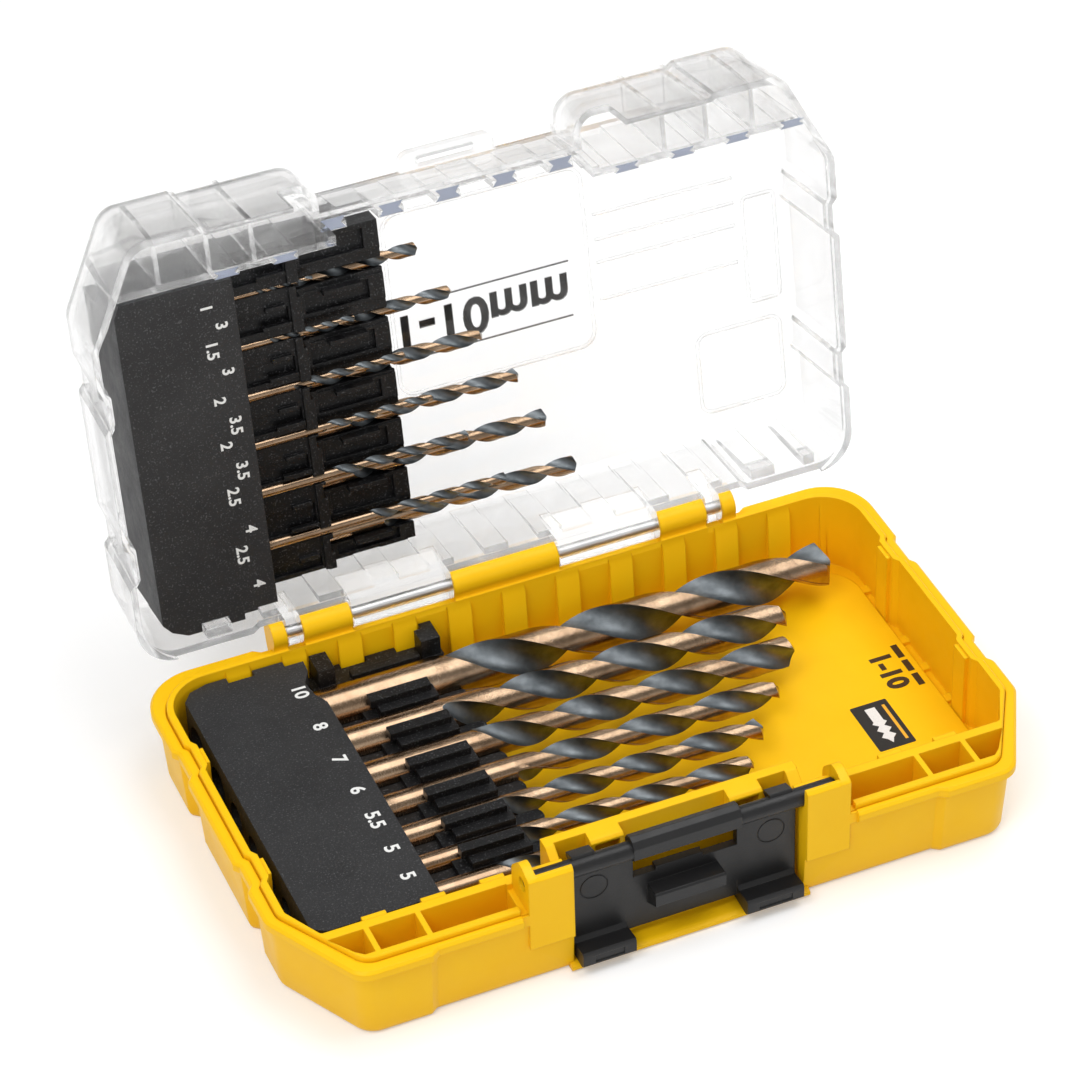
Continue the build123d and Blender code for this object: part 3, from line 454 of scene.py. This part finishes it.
def text_mesh(name, words, size, thick, bold):
    """Flat lettering as a closed thin mesh, centred on its origin; size is the height of a figure in mm."""
    data = bpy.data.curves.new(name, "FONT")
    data.body = words
    data.size = size / FIGURE_HEIGHT * MM
    data.align_x = "CENTER"
    data.align_y = "CENTER"
    data.extrude = thick / 2 * MM
    data.offset = bold * MM
    data.resolution_u = 4
    temp = bpy.data.objects.new(name + "_temp", data)
    bpy.context.scene.collection.objects.link(temp)
    graph = bpy.context.evaluated_depsgraph_get()
    mesh = bpy.data.meshes.new_from_object(temp.evaluated_get(graph))
    bpy.data.objects.remove(temp)
    return mesh


def add_text(name, words, size, place, body, mat, thick=0.06, bold=0.0):
    mesh = text_mesh(name, words, size, thick, bold)
    mesh.materials.clear()
    mesh.materials.append(mat)
    add_piece(name, mesh, body, place)


BASE_LABELS = ["10", "8", "7", "6", "5.5", "5", "5"]
BASE_LABEL_X = -53.2
for i, (words, spec) in enumerate(zip(BASE_LABELS, BASE_BITS.values())):
    bit_y = spec[4]
    place = axes((0, -1, 0), (1, 0, 0), (0, 0, 1), (BASE_LABEL_X, bit_y, BLOCK_Z))
    add_text(f"tray_number_{i}", words, 3.0, place, "tray", WHITE_INK, bold=0.11)

# the lid's numbers stand in two staggered columns, the thin bits' sizes in the first one
LID_LABELS = [
    ("1", -29.8), ("3", -25.1), ("1.5", -20.0), ("3", -14.4), ("2", -8.1), ("3.5", -1.7),
    ("2", 2.5), ("3.5", 9.1), ("2.5", 14.7), ("4", 23.2), ("2.5", 28.9), ("4", 36.6),
]
LID_LABEL_X = (-57.3, -54.6)
for i, (words, y) in enumerate(LID_LABELS):
    place = LID_OPEN @ axes((0, 1, 0), (1, 0, 0), (0, 0, -1), (LID_LABEL_X[i % 2], y, LID_BLOCK_Z))
    add_text(f"lid_number_{i}", words, 2.5, place, "lid_shell", WHITE_INK, bold=0.09)


def plate(name, corners, z, thick, body, mat, place=UP):
    """A thin flat patch with the given outline (mm), seen from its upper side."""
    n = len(corners)
    verts = [(x * MM, y * MM, h * MM) for h in (z, z + thick) for x, y in corners]
    faces = [tuple(range(n))[::-1], tuple(range(n, 2 * n))]
    faces += [(i, (i + 1) % n, n + (i + 1) % n, n + i) for i in range(n)]
    mesh = bpy.data.meshes.new(name)
    mesh.from_pydata(verts, [], faces)
    mesh.materials.append(mat)
    add_piece(name, mesh, body, place)


def strip(a, b, w):
    """Corners of a straight line of width w from a to b, counter-clockwise."""
    a, b = Vector(a), Vector(b)
    side = (b - a).orthogonal().normalized() * (w / 2)
    return [tuple(a - side), tuple(b - side), tuple(b + side), tuple(a + side)]


def rounded(x0, x1, y0, y1, r, steps=5):
    """Corners of a rectangle with rounded corners, counter-clockwise."""
    centres = ((x1 - r, y0 + r), (x1 - r, y1 - r), (x0 + r, y1 - r), (x0 + r, y0 + r))
    corners = []
    for (cx, cy), first in zip(centres, (-90, 0, 90, 180)):
        for k in range(steps + 1):
            a = math.radians(first + 90 * k / steps)
            corners.append((cx + r * math.cos(a), cy + r * math.sin(a)))
    return corners


# the print on the outside of the lid: two rules with the size range between them
INK = 0.04
RULE_X0, RULE_X1 = -12.6, 29.5
for letter, y in (("a", -7.9), ("b", 5.3)):
    rule = strip((RULE_X0, y), (RULE_X1, y), 0.4)
    plate(f"lid_print_rule_{letter}", rule, LID_TOP, INK, "lid_shell", BLACK_INK, LID_OPEN)
place = LID_OPEN @ axes((1, 0, 0), (0, 1, 0), (0, 0, 1), (8.6, -1.3, LID_TOP + INK / 2))
add_text("lid_print_size", "1-10mm", 8.6, place, "lid_shell", BLACK_INK, INK, 0.32)

# painted shade: blue-grey plates on the ends of the lid's front ribs, standing in for the shade that
# refraction in the clear plastic gives them
RIB_COUNT = 11
RIB_HALF, RIB_WAIST = 2.7, 1.7
RECESS_END = (-40.8, -38.2, 26.7)    # front, back and height of the ends in the latch recess
BOX_END = (-38.3, -36.6, 21.42)      # and of those beside the front boxes
for k in range(1, RIB_COUNT + 1):
    x = (k - RIB_COUNT / 2) * PITCH + RIB_OFF
    y0, y1, z = RECESS_END if abs(x - LATCH_X) < BOX_X else BOX_END
    mid = (y0 + y1) / 2
    bow = [(x - RIB_HALF, y0), (x + RIB_HALF, y0), (x + RIB_WAIST, mid),
           (x + RIB_HALF, y1), (x - RIB_HALF, y1), (x - RIB_WAIST, mid)]
    plate(f"lid_rib_end_painted_shade_{k}", bow, z, INK, "lid_shell", PAINTED_RIB_SHADE, LID_OPEN)

# the sticker on the tray floor, with a drill and a bar on it
STICKER_T = 0.05
ON_STICKER = PANEL_Z + STICKER_T
sticker = rounded(57.8, 66.4, -18.0, -3.0, 0.4)
plate("tray_sticker", sticker, PANEL_Z, STICKER_T, "tray", BLACK_INK)
drill = [
    (60.6, -4.6), (60.6, -9.0), (60.1, -9.6), (61.2, -10.6), (60.1, -11.8), (61.2, -12.9),
    (60.1, -14.1), (61.1, -15.0), (61.8, -16.4), (62.5, -15.0), (63.5, -14.1), (62.4, -12.9),
    (63.5, -11.8), (62.4, -10.6), (63.5, -9.6), (63.0, -9.0), (63.0, -4.6),
]
plate("sticker_drill", drill, ON_STICKER, 0.02, "tray", WHITE_INK)
bar = strip((65.0, -16.4), (65.0, -4.6), 0.7)
plate("sticker_bar", bar, ON_STICKER, 0.02, "tray", AMBER_INK)

# the size range beside it, with a broken bar
place = axes((0, -1, 0), (1, 0, 0), (0, 0, 1), (71.0, 4.8, PANEL_Z + 0.03))
add_text("tray_sizes", "1-10", 4.6, place, "tray", BROWN_INK, bold=0.3)
BAR_X = 75.8
for i, (y0, y1) in enumerate(((12.0, 7.6), (6.6, 2.8), (1.8, -2.2))):
    bar = strip((BAR_X, y1), (BAR_X, y0), 1.5)
    plate(f"tray_bar_{i}", bar, PANEL_Z, STICKER_T, "tray", BROWN_INK)


# ---------------------------------------------------------------- floor, lights, camera
FLOOR_HALF = 6.0
FLOOR_GLOW = 0.24         # what the floor adds for the camera and for gloss, so that it looks white
WORLD_FILL = 0.50
WORLD_GLOSS = 0.29
WORLD_GLASS = 0.80
WORLD_SEEN = 1.0


def floor():
    e = FLOOR_HALF
    mesh = bpy.data.meshes.new("floor")
    mesh.from_pydata([(-e, -e, 0), (e, -e, 0), (e, e, 0), (-e, e, 0)], [], [(0, 1, 2, 3)])
    obj = bpy.data.objects.new("floor", mesh)
    bpy.context.scene.collection.objects.link(obj)
    mat = bpy.data.materials.new("floor")
    mat.use_nodes = True
    tree = mat.node_tree
    tree.nodes.clear()
    out = tree.nodes.new("ShaderNodeOutputMaterial")
    diffuse = node(tree, "ShaderNodeBsdfDiffuse", Color=(0.80, 0.80, 0.80, 1))
    glow = tree.nodes.new("ShaderNodeEmission")
    add = tree.nodes.new("ShaderNodeAddShader")
    tree.links.new(seen(tree, FLOOR_GLOW), glow.inputs["Strength"])
    tree.links.new(diffuse.outputs[0], add.inputs[0])
    tree.links.new(glow.outputs[0], add.inputs[1])
    tree.links.new(add.outputs[0], out.inputs["Surface"])
    mesh.materials.append(mat)


def seen(tree, amount):
    """amount for rays that come from the camera or by gloss, and 0 for the rest."""
    path = tree.nodes.new("ShaderNodeLightPath")
    either = tree.nodes.new("ShaderNodeMath")
    either.operation = "MAXIMUM"
    tree.links.new(path.outputs["Is Camera Ray"], either.inputs[0])
    tree.links.new(path.outputs["Is Glossy Ray"], either.inputs[1])
    times = tree.nodes.new("ShaderNodeMath")
    times.operation = "MULTIPLY"
    times.inputs[1].default_value = amount
    tree.links.new(either.outputs[0], times.inputs[0])
    return times.outputs[0]


def world():
    """White for rays from the camera, paler through glass and for gloss, and the fill level for the rest."""
    w = bpy.data.worlds.new("studio")
    bpy.context.scene.world = w
    w.use_nodes = True
    tree = w.node_tree
    back = tree.nodes["Background"]
    back.inputs["Color"].default_value = (1, 1, 1, 1)
    path = tree.nodes.new("ShaderNodeLightPath")
    level = None
    levels = {"Is Glossy Ray": WORLD_GLOSS, "Is Transmission Ray": WORLD_GLASS, "Is Camera Ray": WORLD_SEEN}
    for source, amount in levels.items():
        pick = tree.nodes.new("ShaderNodeMix")
        pick.inputs["A"].default_value = WORLD_FILL
        pick.inputs["B"].default_value = amount
        tree.links.new(path.outputs[source], pick.inputs["Factor"])
        if level is not None:
            tree.links.new(level, pick.inputs["A"])
        level = pick.outputs["Result"]
    tree.links.new(level, back.inputs["Strength"])


AIM = Vector((0, 0, 0.02))


def area(name, place, width, height, watts):
    """A rectangular lamp that looks at the case."""
    data = bpy.data.lights.new(name, "AREA")
    data.shape = "RECTANGLE"
    data.size = width
    data.size_y = height
    data.energy = watts
    obj = bpy.data.objects.new(name, data)
    bpy.context.scene.collection.objects.link(obj)
    obj.location = place
    obj.rotation_euler = (AIM - Vector(place)).to_track_quat("-Z", "Y").to_euler()


CAMERA_AT = (-260.25, -623.36, 620.99)     # mm
CAMERA_RIGHT = Vector((0.9197, -0.3917, -0.0274))
CAMERA_UP = Vector((0.2677, 0.5744, 0.7736))
LENS, SENSOR = 144.03, 36.0                # mm


def camera():
    data = bpy.data.cameras.new("camera")
    data.sensor_width = SENSOR
    data.lens = LENS
    data.clip_start = 0.05
    data.clip_end = 30.0
    obj = bpy.data.objects.new("camera", data)
    bpy.context.scene.collection.objects.link(obj)
    right = CAMERA_RIGHT.normalized()
    back = right.cross(CAMERA_UP).normalized()
    obj.matrix_world = axes(right, back.cross(right), back, CAMERA_AT)
    bpy.context.scene.camera = obj


floor()
world()
area("key", (-0.55, -0.35, 0.95), 0.60, 0.60, 5.0)
area("top", (0.33, 0.02, 1.05), 0.85, 0.70, 5.6)
area("front", (0.35, -1.0, 0.45), 0.60, 0.40, 0.5)
camera()
bpy.context.scene.view_settings.view_transform = "Standard"
